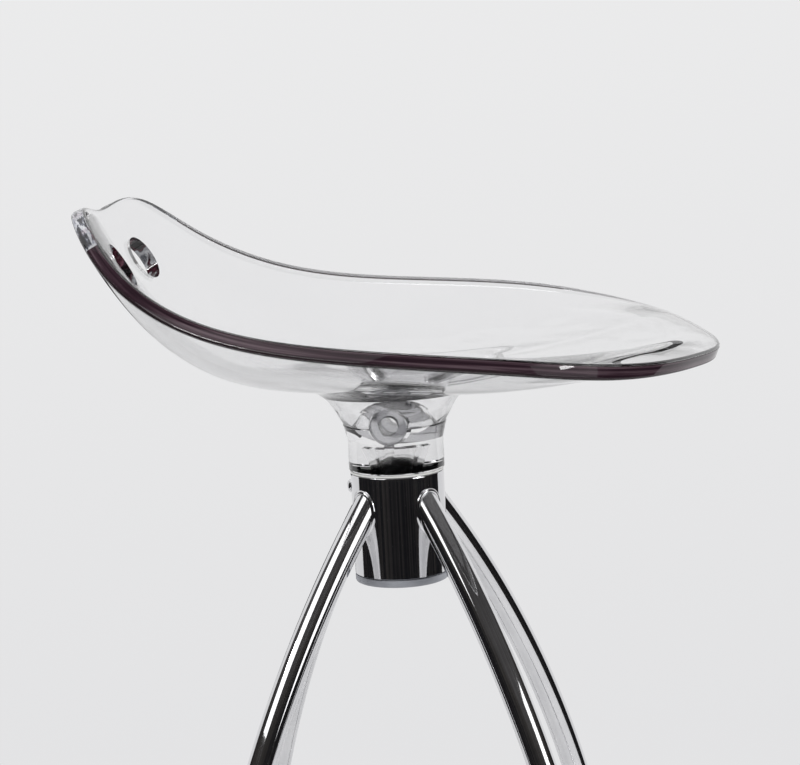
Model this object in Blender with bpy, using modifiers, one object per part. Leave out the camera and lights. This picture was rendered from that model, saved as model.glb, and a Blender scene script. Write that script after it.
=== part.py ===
"""Bar stool with a clear moulded seat that turns on a chromed four-legged base.

Metres, +Z up. The origin is on the floor, on the axis of the column. The seat faces +X at rest.
"""
import math

import bmesh
import bpy
from mathutils import Vector

# Clearances
GAP = 0.0003
RUNNING_GAP = 0.0004
END_PLAY = 0.001

# Column
HUB_TOP = 0.690
HUB_RADIUS = 0.0325
HUB_WALL = 0.003
HUB_LENGTH = 0.071
HUB_EDGE = 0.0008
CAP_THICKNESS = 0.005
CAP_EDGE = 0.0012
CAP_PLUG_DEPTH = 0.008
CAP_PLUG_WALL = 0.0025
SLEEVE_WALL = 0.0033

# Legs
LEG_RADIUS = 0.0095
LEG_WALL = 0.0015
LEG_JOINT_DROP = 0.0257
LEG_ANGLE_TOP = math.radians(39.5)
LEG_ANGLE_FOOT = math.radians(17.0)
LEG_BEND_RADIUS = 0.750
LEG_END_HEIGHT = 0.009
BASE_TURN = math.radians(3.1)

# Floor glides
GLIDE_LIP = 0.0013
GLIDE_EDGE = 0.001
GLIDE_PLUG_LENGTH = 0.018

# Foot ring
RING_BAR_RADIUS = 0.007
RING_DROP = 0.405

# Turning gear inside the column
WASHER_THICKNESS = 0.0015
SPIGOT_ROOM = 0.025
PLATE_THICKNESS = 0.0025
PLATE_SCREW_RADIUS = 0.002
PLATE_SCREW_LENGTH = 0.012
PLATE_SCREW_HEAD_RADIUS = 0.0038
PLATE_SCREW_HEAD_HEIGHT = 0.0026
SIDE_SCREW_DROP = 0.010
SIDE_SCREW_RADIUS = 0.0025
SIDE_SCREW_HEAD_RADIUS = 0.0046
SIDE_SCREW_HEAD_HEIGHT = 0.0024
SIDE_SCREW_SOCKET_RADIUS = 0.0016
SIDE_SCREW_SOCKET_DEPTH = 0.0013

# Stem under the seat: heights are above the top edge of the column
NECK_OVERHANG = 0.0007
COLLAR_BOTTOM = 0.0235
COLLAR_HEIGHT = 0.011
COLLAR_STEP = 0.0025
COLLAR_EDGE = 0.0006
BELL_ROOM = 0.0008
BELL_FULLNESS = 2.2
BELL_SKIRT = 1.4
CORE_DROP = 0.003
CORE_TOP_RADIUS = 0.0150
CORE_MOUTH_RADIUS = 0.0105
CORE_EDGE = 0.0015

# Hollow flare of the seat, which sits on the stem's collar
FLARE_CONE_HEIGHT = 0.0105
FLARE_ANGLE_BOTTOM = math.radians(28.5)
FLARE_ANGLE_TOP = math.radians(80.0)
FLARE_LIP = 0.0010
FLARE_WALL = 0.004
SOCKET_ANGLE_TOP = math.radians(49.0)
CEILING_BOSS = 0.004

# Bushes across the joint of flare and stem
BUSH_RISE = 0.0015
BUSH_RADIUS = 0.0127
BUSH_BORE = 0.0064
BUSH_FLOOR = 0.021
BUSH_END = 0.0335
BUSH_EDGE = 0.0004

# Shell of the seat: reach is from the column's axis to the rim, rise is from the pan to the rim
PAN_HEIGHT = 0.072
SHELL_WALL = 0.010
RIM_ROUND = 0.002
FRONT_REACH = 0.2245
FRONT_RISE = 0.010
NOSE_ANGLE = math.radians(20.0)
NOSE_REACH = 0.2235
NOSE_RISE = 0.013
CORNER_ANGLE = math.radians(49.0)
CORNER_REACH = 0.2385
CORNER_RISE = 0.0226
HIP_ANGLE = math.radians(66.0)
HIP_REACH = 0.2345
HIP_RISE = 0.0328
SIDE_REACH = 0.2145
SIDE_RISE = 0.042
QUARTER_ANGLE = math.radians(124.0)
QUARTER_REACH = 0.2018
QUARTER_RISE = 0.0638
SHOULDER_ANGLE = math.radians(142.0)
SHOULDER_REACH = 0.2036
SHOULDER_RISE = 0.0929
HUMP_ANGLE = math.radians(158.0)
HUMP_REACH = 0.203
HUMP_RISE = 0.120
BACK_REACH = 0.198
BACK_RISE = 0.1175
PAN_CURVE = 2.5
BACK_CURVE = 3.9
BACK_CURVE_START = math.radians(95.0)
BACK_CURVE_END = math.radians(160.0)
LIP_DROP = 0.010
LIP_WIDTH = 0.033
LIP_FULL_ANGLE = math.radians(30.0)
LIP_END_ANGLE = math.radians(66.0)
EYE_RADIUS = 0.0165
EYE_SPACING = 0.058
EYE_DROP = 0.0375

# Facets
SHELL_SECTORS = 64
SHELL_RINGS = 14
RIM_STEPS = 2
SLOPE_SWEEPS = 60
FLARE_STEPS = 8
SOCKET_STEPS = 5
BELL_STEPS = 10
TURNED_STEPS = 40
SMALL_STEPS = 16
GLIDE_STEPS = 20
EYE_STEPS = 32
DOME_STEPS = 5
LEG_ARC_POINTS = 9
LEG_SIDE_STEPS = 6
BORE_SIDE_STEPS = 4
RING_STEPS = 56
RING_SIDE_STEPS = 12
SHARP_ANGLE = math.radians(35)
RIM_EDGE_ANGLE = math.radians(50)
WELD = 0.00001

# Sizes that follow from the ones above
HUB_BORE = HUB_RADIUS - HUB_WALL
SLEEVE_RADIUS = HUB_BORE - GAP
SLEEVE_BORE = SLEEVE_RADIUS - SLEEVE_WALL
SPIGOT_RADIUS = SLEEVE_BORE - RUNNING_GAP
PLATE_RADIUS = (SLEEVE_BORE + HUB_BORE) / 2
PLATE_SCREW_CIRCLE = (CORE_MOUTH_RADIUS + SPIGOT_RADIUS) / 2
NECK_BOTTOM = WASHER_THICKNESS + 2 * GAP
SPIGOT_BOTTOM = SPIGOT_ROOM - HUB_LENGTH
NECK_RADIUS = HUB_RADIUS + NECK_OVERHANG
COLLAR_RADIUS = NECK_RADIUS + COLLAR_STEP
COLLAR_TOP = COLLAR_BOTTOM + COLLAR_HEIGHT
PAN_UNDERSIDE = PAN_HEIGHT - SHELL_WALL
FLARE_START = COLLAR_TOP + FLARE_CONE_HEIGHT
FLARE_START_RADIUS = COLLAR_RADIUS + FLARE_CONE_HEIGHT * math.tan(FLARE_ANGLE_BOTTOM)
FLARE_BEND = (PAN_UNDERSIDE - FLARE_START) / (math.sin(FLARE_ANGLE_TOP) - math.sin(FLARE_ANGLE_BOTTOM))
SOCKET_RADIUS = COLLAR_RADIUS - FLARE_LIP
BELL_FOOT = COLLAR_TOP - GAP
BELL_RADIUS = SOCKET_RADIUS - GAP
CEILING = PAN_UNDERSIDE - CEILING_BOSS
BELL_HEIGHT = CEILING - BELL_ROOM - BELL_FOOT
CORE_TOP = COLLAR_BOTTOM - CORE_DROP
BUSH_HEIGHT = COLLAR_TOP + BUSH_RISE
EYE_HEIGHT = PAN_HEIGHT + BACK_RISE - EYE_DROP
GLIDE_RADIUS = LEG_RADIUS + GLIDE_LIP
RING_HEIGHT = HUB_TOP - RING_DROP

LEG_PLACES = (
    ("front_left", math.radians(45)),
    ("rear_left", math.radians(135)),
    ("rear_right", math.radians(225)),
    ("front_right", math.radians(315)),
)
CLEAR = (0.93, 0.93, 0.95)
FROSTED = (0.72, 0.72, 0.74)
CHROME = (0.78, 0.78, 0.80)
STEEL = (0.55, 0.55, 0.57)
GREY = (0.32, 0.33, 0.36)
NATURAL = (0.86, 0.86, 0.83)
BLACK = (0.03, 0.03, 0.035)


def clear_scene():
    for item in list(bpy.data.objects):
        bpy.data.objects.remove(item, do_unlink=True)


def make_collection(name):
    collection = bpy.data.collections.new(name)
    bpy.context.scene.collection.children.link(collection)
    return collection


def make_material(name, colour, roughness, metallic=0.0, transmission=0.0):
    material = bpy.data.materials.new(name)
    material.use_nodes = True
    shader = material.node_tree.nodes["Principled BSDF"]
    shader.inputs["Base Color"].default_value = (*colour, 1.0)
    shader.inputs["Roughness"].default_value = roughness
    shader.inputs["Metallic"].default_value = metallic
    shader.inputs["Transmission Weight"].default_value = transmission
    return material


def add_empty(name, collection, height=0.0, turn=0.0):
    empty = bpy.data.objects.new(name, None)
    empty.location = (0, 0, height)
    empty.rotation_euler = (0, 0, turn)
    collection.objects.link(empty)
    return empty


def add_object(name, mesh, collection, parent, material=None):
    item = bpy.data.objects.new(name, mesh)
    item.parent = parent
    collection.objects.link(item)
    if material:
        mesh.materials.append(material)
    return item


def as_cutter(item):
    item.hide_render = True
    item.display_type = "WIRE"
    return item


def add_boolean(item, other, operation):
    modifier = item.modifiers.new(operation.title() + " " + other.name, "BOOLEAN")
    modifier.operation = operation
    modifier.solver = "EXACT"
    modifier.object = other


def turned_mesh(name, profile, steps, closed=False):
    """A profile of (radius, height) points, run down its outer side and turned about Z."""
    mesh = bpy.data.meshes.new(name)
    points = [(radius, 0, height) for radius, height in profile]
    edges = [(i, i + 1) for i in range(len(points) - 1)]
    if closed:
        edges.append((len(points) - 1, 0))
    mesh.from_pydata(points, edges, [])
    scratch = bpy.data.objects.new(name + "_profile", mesh)
    bpy.context.scene.collection.objects.link(scratch)
    screw = scratch.modifiers.new("Turn", "SCREW")
    screw.axis = "Z"
    screw.angle = 2 * math.pi
    screw.steps = steps
    screw.render_steps = steps
    screw.use_merge_vertices = True
    screw.merge_threshold = WELD
    return applied(scratch, name)


def applied(item, name):
    """The evaluated mesh of an object, which is removed."""
    bpy.context.view_layer.update()
    evaluated = item.evaluated_get(bpy.context.evaluated_depsgraph_get())
    mesh = bpy.data.meshes.new_from_object(evaluated)
    mesh.name = name
    weld = bmesh.new()
    weld.from_mesh(mesh)
    bmesh.ops.remove_doubles(weld, verts=weld.verts, dist=WELD)
    weld.to_mesh(mesh)
    weld.free()
    bpy.data.objects.remove(item, do_unlink=True)
    mesh.shade_smooth()
    mesh.set_sharp_from_angle(angle=SHARP_ANGLE)
    return mesh


def tube_mesh(name, points, radius, side_resolution):
    """A solid round bar along a run of points."""
    curve = bpy.data.curves.new(name, "CURVE")
    curve.dimensions = "3D"
    curve.bevel_depth = radius
    curve.bevel_resolution = side_resolution
    curve.use_fill_caps = True
    spline = curve.splines.new("POLY")
    spline.points.add(len(points) - 1)
    for slot, point in zip(spline.points, points):
        slot.co = (*point, 1.0)
    item = bpy.data.objects.new(name, curve)
    bpy.context.scene.collection.objects.link(item)
    return applied(item, name)


def cylinder_mesh(name, radius, length, steps):
    """A cylinder centred on the origin along Z."""
    mesh = bpy.data.meshes.new(name)
    shape = bmesh.new()
    bmesh.ops.create_cone(
        shape, cap_ends=True, segments=steps, radius1=radius, radius2=radius, depth=length
    )
    shape.to_mesh(mesh)
    shape.free()
    return mesh


def smooth_step(value):
    share = min(max(value, 0.0), 1.0)
    return share * share * (3 - 2 * share)


# Shape of the seat's shell

RIM_STATIONS = (
    (0.0, FRONT_REACH, FRONT_RISE),
    (NOSE_ANGLE, NOSE_REACH, NOSE_RISE),
    (CORNER_ANGLE, CORNER_REACH, CORNER_RISE),
    (HIP_ANGLE, HIP_REACH, HIP_RISE),
    (math.pi / 2, SIDE_REACH, SIDE_RISE),
    (QUARTER_ANGLE, QUARTER_REACH, QUARTER_RISE),
    (SHOULDER_ANGLE, SHOULDER_REACH, SHOULDER_RISE),
    (HUMP_ANGLE, HUMP_REACH, HUMP_RISE),
    (math.pi, BACK_REACH, BACK_RISE),
)


def station_slopes(values):
    """Slopes of the smooth curve through the stations, level at the front and the back."""
    angles = [station[0] for station in RIM_STATIONS]
    slopes = [0.0] * len(values)
    for sweep in range(SLOPE_SWEEPS):
        for i in range(1, len(values) - 1):
            before, after = angles[i] - angles[i - 1], angles[i + 1] - angles[i]
            pull = 3 * ((values[i] - values[i - 1]) / before**2 + (values[i + 1] - values[i]) / after**2)
            pull -= slopes[i - 1] / before + slopes[i + 1] / after
            slopes[i] = pull / (2 / before + 2 / after)
    return slopes


RIM_SLOPES = [station_slopes([station[k] for station in RIM_STATIONS]) for k in (1, 2)]


def rim_at(angle):
    """Reach and rise of the rim at an angle from the front, the same on both sides."""
    angle = abs(math.remainder(angle, 2 * math.pi))
    i = 0
    while i < len(RIM_STATIONS) - 2 and angle > RIM_STATIONS[i + 1][0]:
        i += 1
    here, there = RIM_STATIONS[i : i + 2]
    span = there[0] - here[0]
    t = (angle - here[0]) / span
    return [
        here[k] * (2 * t**3 - 3 * t**2 + 1)
        + there[k] * (3 * t**2 - 2 * t**3)
        + span * slopes[i] * (t**3 - 2 * t**2 + t)
        + span * slopes[i + 1] * (t**3 - t**2)
        for k, slopes in enumerate(RIM_SLOPES, 1)
    ]


def shell_top(share, angle):
    """Point on the upper face, a share of the way from the column's axis to the rim."""
    reach, rise = rim_at(angle)
    away = abs(math.remainder(angle, 2 * math.pi))
    back = smooth_step((away - BACK_CURVE_START) / (BACK_CURVE_END - BACK_CURVE_START))
    curve = PAN_CURVE + (BACK_CURVE - PAN_CURVE) * back
    lip = LIP_DROP * (1 - smooth_step((away - LIP_FULL_ANGLE) / (LIP_END_ANGLE - LIP_FULL_ANGLE)))
    roll = max(0.0, 1 - (1 - share) * reach / LIP_WIDTH)
    height = PAN_HEIGHT + (rise + lip) * share**curve - lip * roll**2
    return Vector((share * reach * math.cos(angle), share * reach * math.sin(angle), height))


def shell_normal(share, angle):
    """Upward normal of the upper face."""
    step = 0.001
    outward = shell_top(share + step, angle) - shell_top(share - step, angle)
    around = shell_top(share, angle + step) - shell_top(share, angle - step)
    return outward.cross(around).normalized()


def eye_place(side):
    """Point and normal on the upper face at the eye's height and side offset, found by halving."""
    low, high = 0.0, 1.0
    while high - low > WELD:
        share = (low + high) / 2
        angle = math.pi - math.asin(side * EYE_SPACING / 2 / (share * BACK_REACH))
        if shell_top(share, angle).z < EYE_HEIGHT:
            low = share
        else:
            high = share
    return shell_top(share, angle), shell_normal(share, angle)


def shell_mesh():
    """The upper face: a radius spun into a disc, each of whose points is then raised."""
    shape = bmesh.new()
    shares = [math.sin(math.pi / 2 * i / SHELL_RINGS) for i in range(SHELL_RINGS + 1)]
    spokes = [shape.verts.new((share, 0, 0)) for share in shares]
    edges = [shape.edges.new(pair) for pair in zip(spokes, spokes[1:])]
    bmesh.ops.spin(
        shape, geom=spokes + edges, cent=(0, 0, 0), axis=(0, 0, 1), angle=2 * math.pi, steps=SHELL_SECTORS
    )
    bmesh.ops.remove_doubles(shape, verts=shape.verts, dist=WELD)
    for vert in shape.verts:
        vert.co = shell_top(math.hypot(vert.co.x, vert.co.y), math.atan2(vert.co.y, vert.co.x))
    bmesh.ops.recalc_face_normals(shape, faces=shape.faces)
    if sum(face.normal.z for face in shape.faces) < 0:
        bmesh.ops.reverse_faces(shape, faces=shape.faces)
    mesh = bpy.data.meshes.new("seat")
    shape.to_mesh(mesh)
    shape.free()
    mesh.shade_smooth()
    return mesh


# Parts that turn with the seat


def flare_at(lean):
    """Point on the outside of the flare's curved part, where its wall leans that far from upright."""
    radius = FLARE_START_RADIUS + FLARE_BEND * (math.cos(FLARE_ANGLE_BOTTOM) - math.cos(lean))
    return radius, FLARE_START + FLARE_BEND * (math.sin(lean) - math.sin(FLARE_ANGLE_BOTTOM))


def flare_profile():
    """Section of the hollow flare: down its outside from within the shell, then up its socket."""
    inside_wall = PAN_HEIGHT - SHELL_WALL / 2
    outside = []
    for i in range(FLARE_STEPS + 1):
        outside.append(flare_at(FLARE_ANGLE_TOP + (FLARE_ANGLE_BOTTOM - FLARE_ANGLE_TOP) * i / FLARE_STEPS))
    socket = []
    for i in range(SOCKET_STEPS + 1):
        lean = FLARE_ANGLE_BOTTOM + (SOCKET_ANGLE_TOP - FLARE_ANGLE_BOTTOM) * i / SOCKET_STEPS
        radius, height = flare_at(lean)
        socket.append((radius - FLARE_WALL * math.cos(lean), height + FLARE_WALL * math.sin(lean)))
    return [
        (0, inside_wall),
        (outside[0][0], inside_wall),
        *outside,
        (COLLAR_RADIUS, COLLAR_TOP),
        (SOCKET_RADIUS, COLLAR_TOP),
        *socket,
        (socket[-1][0], CEILING),
        (0, CEILING),
    ]


def stem_profile():
    """Outer side of the stem from the top of its bell down to the spigot, then up its cored recess."""
    bell = []
    for i in range(BELL_STEPS + 1):
        share = math.sin(math.pi / 2 * i / BELL_STEPS)
        rise = BELL_HEIGHT * (1 - share**BELL_FULLNESS) ** BELL_SKIRT
        bell.append((BELL_RADIUS * share, BELL_FOOT + rise))
    return [
        *bell,
        (COLLAR_RADIUS - COLLAR_EDGE, BELL_FOOT),
        (COLLAR_RADIUS, BELL_FOOT - COLLAR_EDGE),
        (NECK_RADIUS, COLLAR_BOTTOM),
        (NECK_RADIUS, NECK_BOTTOM),
        (SPIGOT_RADIUS, NECK_BOTTOM),
        (SPIGOT_RADIUS, SPIGOT_BOTTOM),
        (CORE_MOUTH_RADIUS, SPIGOT_BOTTOM),
        (CORE_MOUTH_RADIUS, 0),
        (CORE_TOP_RADIUS, CORE_TOP - CORE_EDGE),
        (CORE_TOP_RADIUS - CORE_EDGE, CORE_TOP),
        (0, CORE_TOP),
    ]


def plate_screw_places():
    return [2 * math.pi * i / 3 for i in range(3)]


def screw_hole(name, place, cutters, parent):
    """Clearance hole for a plate screw, through the plate and into the spigot."""
    length = PLATE_SCREW_LENGTH + PLATE_THICKNESS + END_PLAY
    item = add_object(
        name, cylinder_mesh(name, PLATE_SCREW_RADIUS + GAP, 2 * length, SMALL_STEPS), cutters, parent
    )
    item.location = (
        PLATE_SCREW_CIRCLE * math.cos(place), PLATE_SCREW_CIRCLE * math.sin(place), SPIGOT_BOTTOM
    )
    return as_cutter(item)


def cross_cylinder(name, radius, inner_end, outer_end, cutters, swivel):
    """Cutter across the neck, between two distances from the column's axis."""
    length = abs(outer_end - inner_end)
    item = add_object(name, cylinder_mesh(name, radius, length, TURNED_STEPS), cutters, swivel)
    item.location = (0, (inner_end + outer_end) / 2, BUSH_HEIGHT)
    item.rotation_euler = (math.pi / 2, 0, 0)
    return as_cutter(item)


def make_seat(parts, cutters, swivel):
    """Clear shell with a hollow flare under it, in one moulding, and two round eyes."""
    clear = make_material("clear moulding", CLEAR, 0.03, transmission=1.0)
    seat = add_object("seat", shell_mesh(), parts, swivel, clear)
    solidify = seat.modifiers.new("Wall", "SOLIDIFY")
    solidify.thickness = SHELL_WALL
    solidify.offset = -1
    solidify.use_even_offset = True
    bevel = seat.modifiers.new("Rounded rim", "BEVEL")
    bevel.width = RIM_ROUND
    bevel.segments = RIM_STEPS
    bevel.limit_method = "ANGLE"
    bevel.angle_limit = RIM_EDGE_ANGLE
    flare = add_object("flare", turned_mesh("flare", flare_profile(), TURNED_STEPS), cutters, swivel)
    add_boolean(seat, as_cutter(flare), "UNION")
    for side, name in ((1, "eye_left"), (-1, "eye_right")):
        eye = add_object(name, cylinder_mesh(name, EYE_RADIUS, 5 * SHELL_WALL, EYE_STEPS), cutters, swivel)
        place, normal = eye_place(side)
        eye.location = place - normal * SHELL_WALL / 2
        eye.rotation_euler = normal.to_track_quat("Z", "Y").to_euler()
        add_boolean(seat, as_cutter(eye), "DIFFERENCE")
    return seat


def make_stem(parts, cutters, swivel, seat):
    """Clear stem with a bell that fills the flare's socket, and the bushes across their joint."""
    clear = make_material("stem moulding", CLEAR, 0.03, transmission=1.0)
    stem_mesh = turned_mesh("seat_stem", stem_profile(), TURNED_STEPS)
    stem = add_object("seat_stem", stem_mesh, parts, swivel, clear)
    reach = FLARE_START_RADIUS + FLARE_BEND
    frosted = make_material("frosted bush", FROSTED, 0.4)
    profile = [
        (BUSH_RADIUS - BUSH_EDGE, BUSH_END),
        (BUSH_RADIUS, BUSH_END - BUSH_EDGE),
        (BUSH_RADIUS, BUSH_FLOOR + GAP),
        (BUSH_BORE, BUSH_FLOOR + GAP),
        (BUSH_BORE, BUSH_END),
    ]
    for side, place in ((1, "left"), (-1, "right")):
        name = "bush_pocket_" + place
        pocket = cross_cylinder(name, BUSH_RADIUS + GAP, side * BUSH_FLOOR, side * reach, cutters, swivel)
        add_boolean(seat, pocket, "DIFFERENCE")
        add_boolean(stem, pocket, "DIFFERENCE")
        name = "cross_bush_" + place
        bush_mesh = turned_mesh(name, profile, TURNED_STEPS, closed=True)
        bush = add_object(name, bush_mesh, parts, swivel, frosted)
        bush.location = (0, 0, BUSH_HEIGHT)
        bush.rotation_euler = (-side * math.pi / 2, 0, 0)
    return stem


def make_retaining_plate(parts, swivel):
    """Steel ring under the spigot that is too wide to pass up through the sleeve."""
    top = SPIGOT_BOTTOM - GAP
    profile = [
        (PLATE_RADIUS, top),
        (PLATE_RADIUS, top - PLATE_THICKNESS),
        (CORE_MOUTH_RADIUS, top - PLATE_THICKNESS),
        (CORE_MOUTH_RADIUS, top),
    ]
    mesh = turned_mesh("retaining_plate", profile, TURNED_STEPS, closed=True)
    return add_object("retaining_plate", mesh, parts, swivel, make_material("plate steel", STEEL, 0.35, 1.0))


def make_plate_screws(parts, swivel):
    """Domed screws that hold the plate to the spigot."""
    steel = make_material("plate screw steel", STEEL, 0.3, 1.0)
    profile = [(0, PLATE_SCREW_LENGTH), (PLATE_SCREW_RADIUS, PLATE_SCREW_LENGTH), (PLATE_SCREW_RADIUS, 0)]
    for i in range(DOME_STEPS):
        angle = math.pi / 2 * i / DOME_STEPS
        profile.append(
            (PLATE_SCREW_HEAD_RADIUS * math.cos(angle), -PLATE_SCREW_HEAD_HEIGHT * math.sin(angle))
        )
    profile.append((0, -PLATE_SCREW_HEAD_HEIGHT))
    seat_face = SPIGOT_BOTTOM - 2 * GAP - PLATE_THICKNESS
    for number, place in enumerate(plate_screw_places(), 1):
        name = f"plate_screw_{number}"
        screw = add_object(name, turned_mesh(name, profile, SMALL_STEPS), parts, swivel, steel)
        screw.location = (
            PLATE_SCREW_CIRCLE * math.cos(place), PLATE_SCREW_CIRCLE * math.sin(place), seat_face
        )


def make_screw_holes(stem, plate, cutters, swivel):
    for number, place in enumerate(plate_screw_places(), 1):
        hole = screw_hole(f"plate_screw_hole_{number}", place, cutters, swivel)
        add_boolean(stem, hole, "DIFFERENCE")
        add_boolean(plate, hole, "DIFFERENCE")


# Parts of the base


def make_thrust_washer(parts, base):
    """Slip ring between the neck's shoulder and the column's top edge."""
    low = HUB_TOP + GAP
    high = low + WASHER_THICKNESS
    profile = [(HUB_RADIUS, high), (HUB_RADIUS, low), (SLEEVE_BORE, low), (SLEEVE_BORE, high)]
    mesh = turned_mesh("thrust_washer", profile, TURNED_STEPS, closed=True)
    add_object("thrust_washer", mesh, parts, base, make_material("washer nylon", NATURAL, 0.4))


def make_sleeve(parts, base, screw_cutter):
    """Plain bearing pressed into the column, in which the spigot turns."""
    high = HUB_TOP - GAP
    low = HUB_TOP + SPIGOT_BOTTOM + END_PLAY
    profile = [(SLEEVE_RADIUS, high), (SLEEVE_RADIUS, low), (SLEEVE_BORE, low), (SLEEVE_BORE, high)]
    mesh = turned_mesh("swivel_sleeve", profile, TURNED_STEPS, closed=True)
    sleeve = add_object("swivel_sleeve", mesh, parts, base, make_material("sleeve nylon", BLACK, 0.4))
    add_boolean(sleeve, screw_cutter, "DIFFERENCE")


def make_hub(parts, base, screw_cutter):
    """Chromed column tube."""
    low = HUB_TOP - HUB_LENGTH
    profile = [
        (HUB_RADIUS - HUB_EDGE, HUB_TOP),
        (HUB_RADIUS, HUB_TOP - HUB_EDGE),
        (HUB_RADIUS, low),
        (HUB_BORE, low),
        (HUB_BORE, HUB_TOP),
    ]
    mesh = turned_mesh("hub_tube", profile, TURNED_STEPS, closed=True)
    hub = add_object("hub_tube", mesh, parts, base, make_material("hub chrome", CHROME, 0.06, 1.0))
    add_boolean(hub, screw_cutter, "DIFFERENCE")


def side_screw_hole(cutters, base):
    """Clearance hole for the side screw, through the column wall and the sleeve."""
    length = 2 * (HUB_RADIUS - SLEEVE_BORE + SIDE_SCREW_RADIUS)
    mesh = cylinder_mesh("side_screw_hole", SIDE_SCREW_RADIUS + GAP, length, SMALL_STEPS)
    hole = add_object("side_screw_hole", mesh, cutters, base)
    hole.location = (-HUB_RADIUS, 0, HUB_TOP - SIDE_SCREW_DROP)
    hole.rotation_euler = (0, math.pi / 2, 0)
    return as_cutter(hole)


def make_side_screw(parts, base):
    """Button-headed screw through the column wall that keeps the sleeve in place."""
    profile = [(0, SIDE_SCREW_HEAD_HEIGHT - SIDE_SCREW_SOCKET_DEPTH)]
    profile.append((SIDE_SCREW_SOCKET_RADIUS, SIDE_SCREW_HEAD_HEIGHT - SIDE_SCREW_SOCKET_DEPTH))
    flat = math.asin(SIDE_SCREW_SOCKET_RADIUS / SIDE_SCREW_HEAD_RADIUS)
    for i in range(DOME_STEPS + 1):
        angle = flat + (math.pi / 2 - flat) * i / DOME_STEPS
        profile.append(
            (SIDE_SCREW_HEAD_RADIUS * math.sin(angle), SIDE_SCREW_HEAD_HEIGHT * math.cos(angle))
        )
    shank = 2 * GAP + HUB_WALL + SLEEVE_WALL - END_PLAY
    profile += [(SIDE_SCREW_RADIUS, 0), (SIDE_SCREW_RADIUS, -shank), (0, -shank)]
    chrome = make_material("side screw chrome", CHROME, 0.12, 1.0)
    screw = add_object("side_screw", turned_mesh("side_screw", profile, SMALL_STEPS), parts, base, chrome)
    screw.location = (-HUB_RADIUS - GAP, 0, HUB_TOP - SIDE_SCREW_DROP)
    screw.rotation_euler = (0, -math.pi / 2, 0)


def make_hub_cap(parts, base):
    """Moulded cap that closes the column underneath, with a plug ring pushed into the bore."""
    face = HUB_TOP - HUB_LENGTH - GAP
    low = face - CAP_THICKNESS
    plug = SLEEVE_RADIUS
    profile = [
        (0, face),
        (plug - CAP_PLUG_WALL, face),
        (plug - CAP_PLUG_WALL, face + CAP_PLUG_DEPTH),
        (plug, face + CAP_PLUG_DEPTH),
        (plug, face),
        (HUB_RADIUS, face),
        (HUB_RADIUS, low + CAP_EDGE),
        (HUB_RADIUS - CAP_EDGE, low),
        (0, low),
    ]
    grey = make_material("cap plastic", GREY, 0.45)
    add_object("hub_cap", turned_mesh("hub_cap", profile, TURNED_STEPS), parts, base, grey)


def leg_line():
    """Centre line of a leg as (radius, height): a bend from the hub, then a straight run to the floor."""
    line = []
    for i in range(LEG_ARC_POINTS):
        angle = LEG_ANGLE_TOP + (LEG_ANGLE_FOOT - LEG_ANGLE_TOP) * i / (LEG_ARC_POINTS - 1)
        radius = HUB_RADIUS + LEG_BEND_RADIUS * (math.cos(angle) - math.cos(LEG_ANGLE_TOP))
        drop = LEG_JOINT_DROP + LEG_BEND_RADIUS * (math.sin(LEG_ANGLE_TOP) - math.sin(angle))
        line.append((radius, HUB_TOP - drop))
    radius, height = line[-1]
    run = height - LEG_END_HEIGHT
    line.append((radius + run * math.tan(LEG_ANGLE_FOOT), LEG_END_HEIGHT))
    return line


def leg_at(height):
    """Distance of the leg's centre line from the column's axis at a height, and its lean there."""
    line = leg_line()
    i = 0
    while i < len(line) - 2 and line[i + 1][1] > height:
        i += 1
    (r_high, z_high), (r_low, z_low) = line[i : i + 2]
    slope = (r_low - r_high) / (z_high - z_low)
    return r_low - slope * (height - z_low), math.atan(slope)


def stretched(line, before, after):
    """The line with straight extensions at its two ends."""
    points = [Vector((radius, 0, height)) for radius, height in line]
    first = points[0] - (points[1] - points[0]).normalized() * before
    last = points[-1] + (points[-1] - points[-2]).normalized() * after
    return [first, *points, last]


def leg_mesh(cutters):
    """Bent tube, coped to the column at its upper end and cut square at its foot."""
    line = leg_line()
    into_hub = HUB_RADIUS / 2
    outer = stretched(line, into_hub, 0)[:-1]
    leg = add_object("leg", tube_mesh("leg", outer, LEG_RADIUS, LEG_SIDE_STEPS), cutters, None)
    bore_points = stretched(line, 2 * into_hub, LEG_RADIUS)
    bore_bar = tube_mesh("leg_bore", bore_points, LEG_RADIUS - LEG_WALL, BORE_SIDE_STEPS)
    bore = add_object("leg_bore", bore_bar, cutters, None)
    add_boolean(leg, as_cutter(bore), "DIFFERENCE")
    cope = add_object(
        "leg_cope", cylinder_mesh("leg_cope", HUB_RADIUS + GAP, 4 * HUB_LENGTH, TURNED_STEPS), cutters, None
    )
    cope.location = (0, 0, HUB_TOP - HUB_LENGTH / 2)
    add_boolean(leg, as_cutter(cope), "DIFFERENCE")
    return applied(leg, "leg")


def make_legs(parts, cutters, base):
    mesh = leg_mesh(cutters)
    mesh.materials.append(make_material("leg chrome", CHROME, 0.06, 1.0))
    for place, angle in LEG_PLACES:
        leg = add_object("leg_" + place, mesh, parts, base)
        leg.rotation_euler = (0, 0, angle)


def glide_profile():
    """Plug that fits the leg's bore, over a pad that is long enough to be cut off at the floor."""
    plug = LEG_RADIUS - LEG_WALL - GAP
    pad = 2 * (LEG_END_HEIGHT + GLIDE_RADIUS)
    return [
        (0, GLIDE_PLUG_LENGTH),
        (plug - GLIDE_EDGE, GLIDE_PLUG_LENGTH),
        (plug, GLIDE_PLUG_LENGTH - GLIDE_EDGE),
        (plug, -GAP),
        (GLIDE_RADIUS - GLIDE_EDGE, -GAP),
        (GLIDE_RADIUS, -GAP - GLIDE_EDGE),
        (GLIDE_RADIUS, -pad),
        (0, -pad),
    ]


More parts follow.
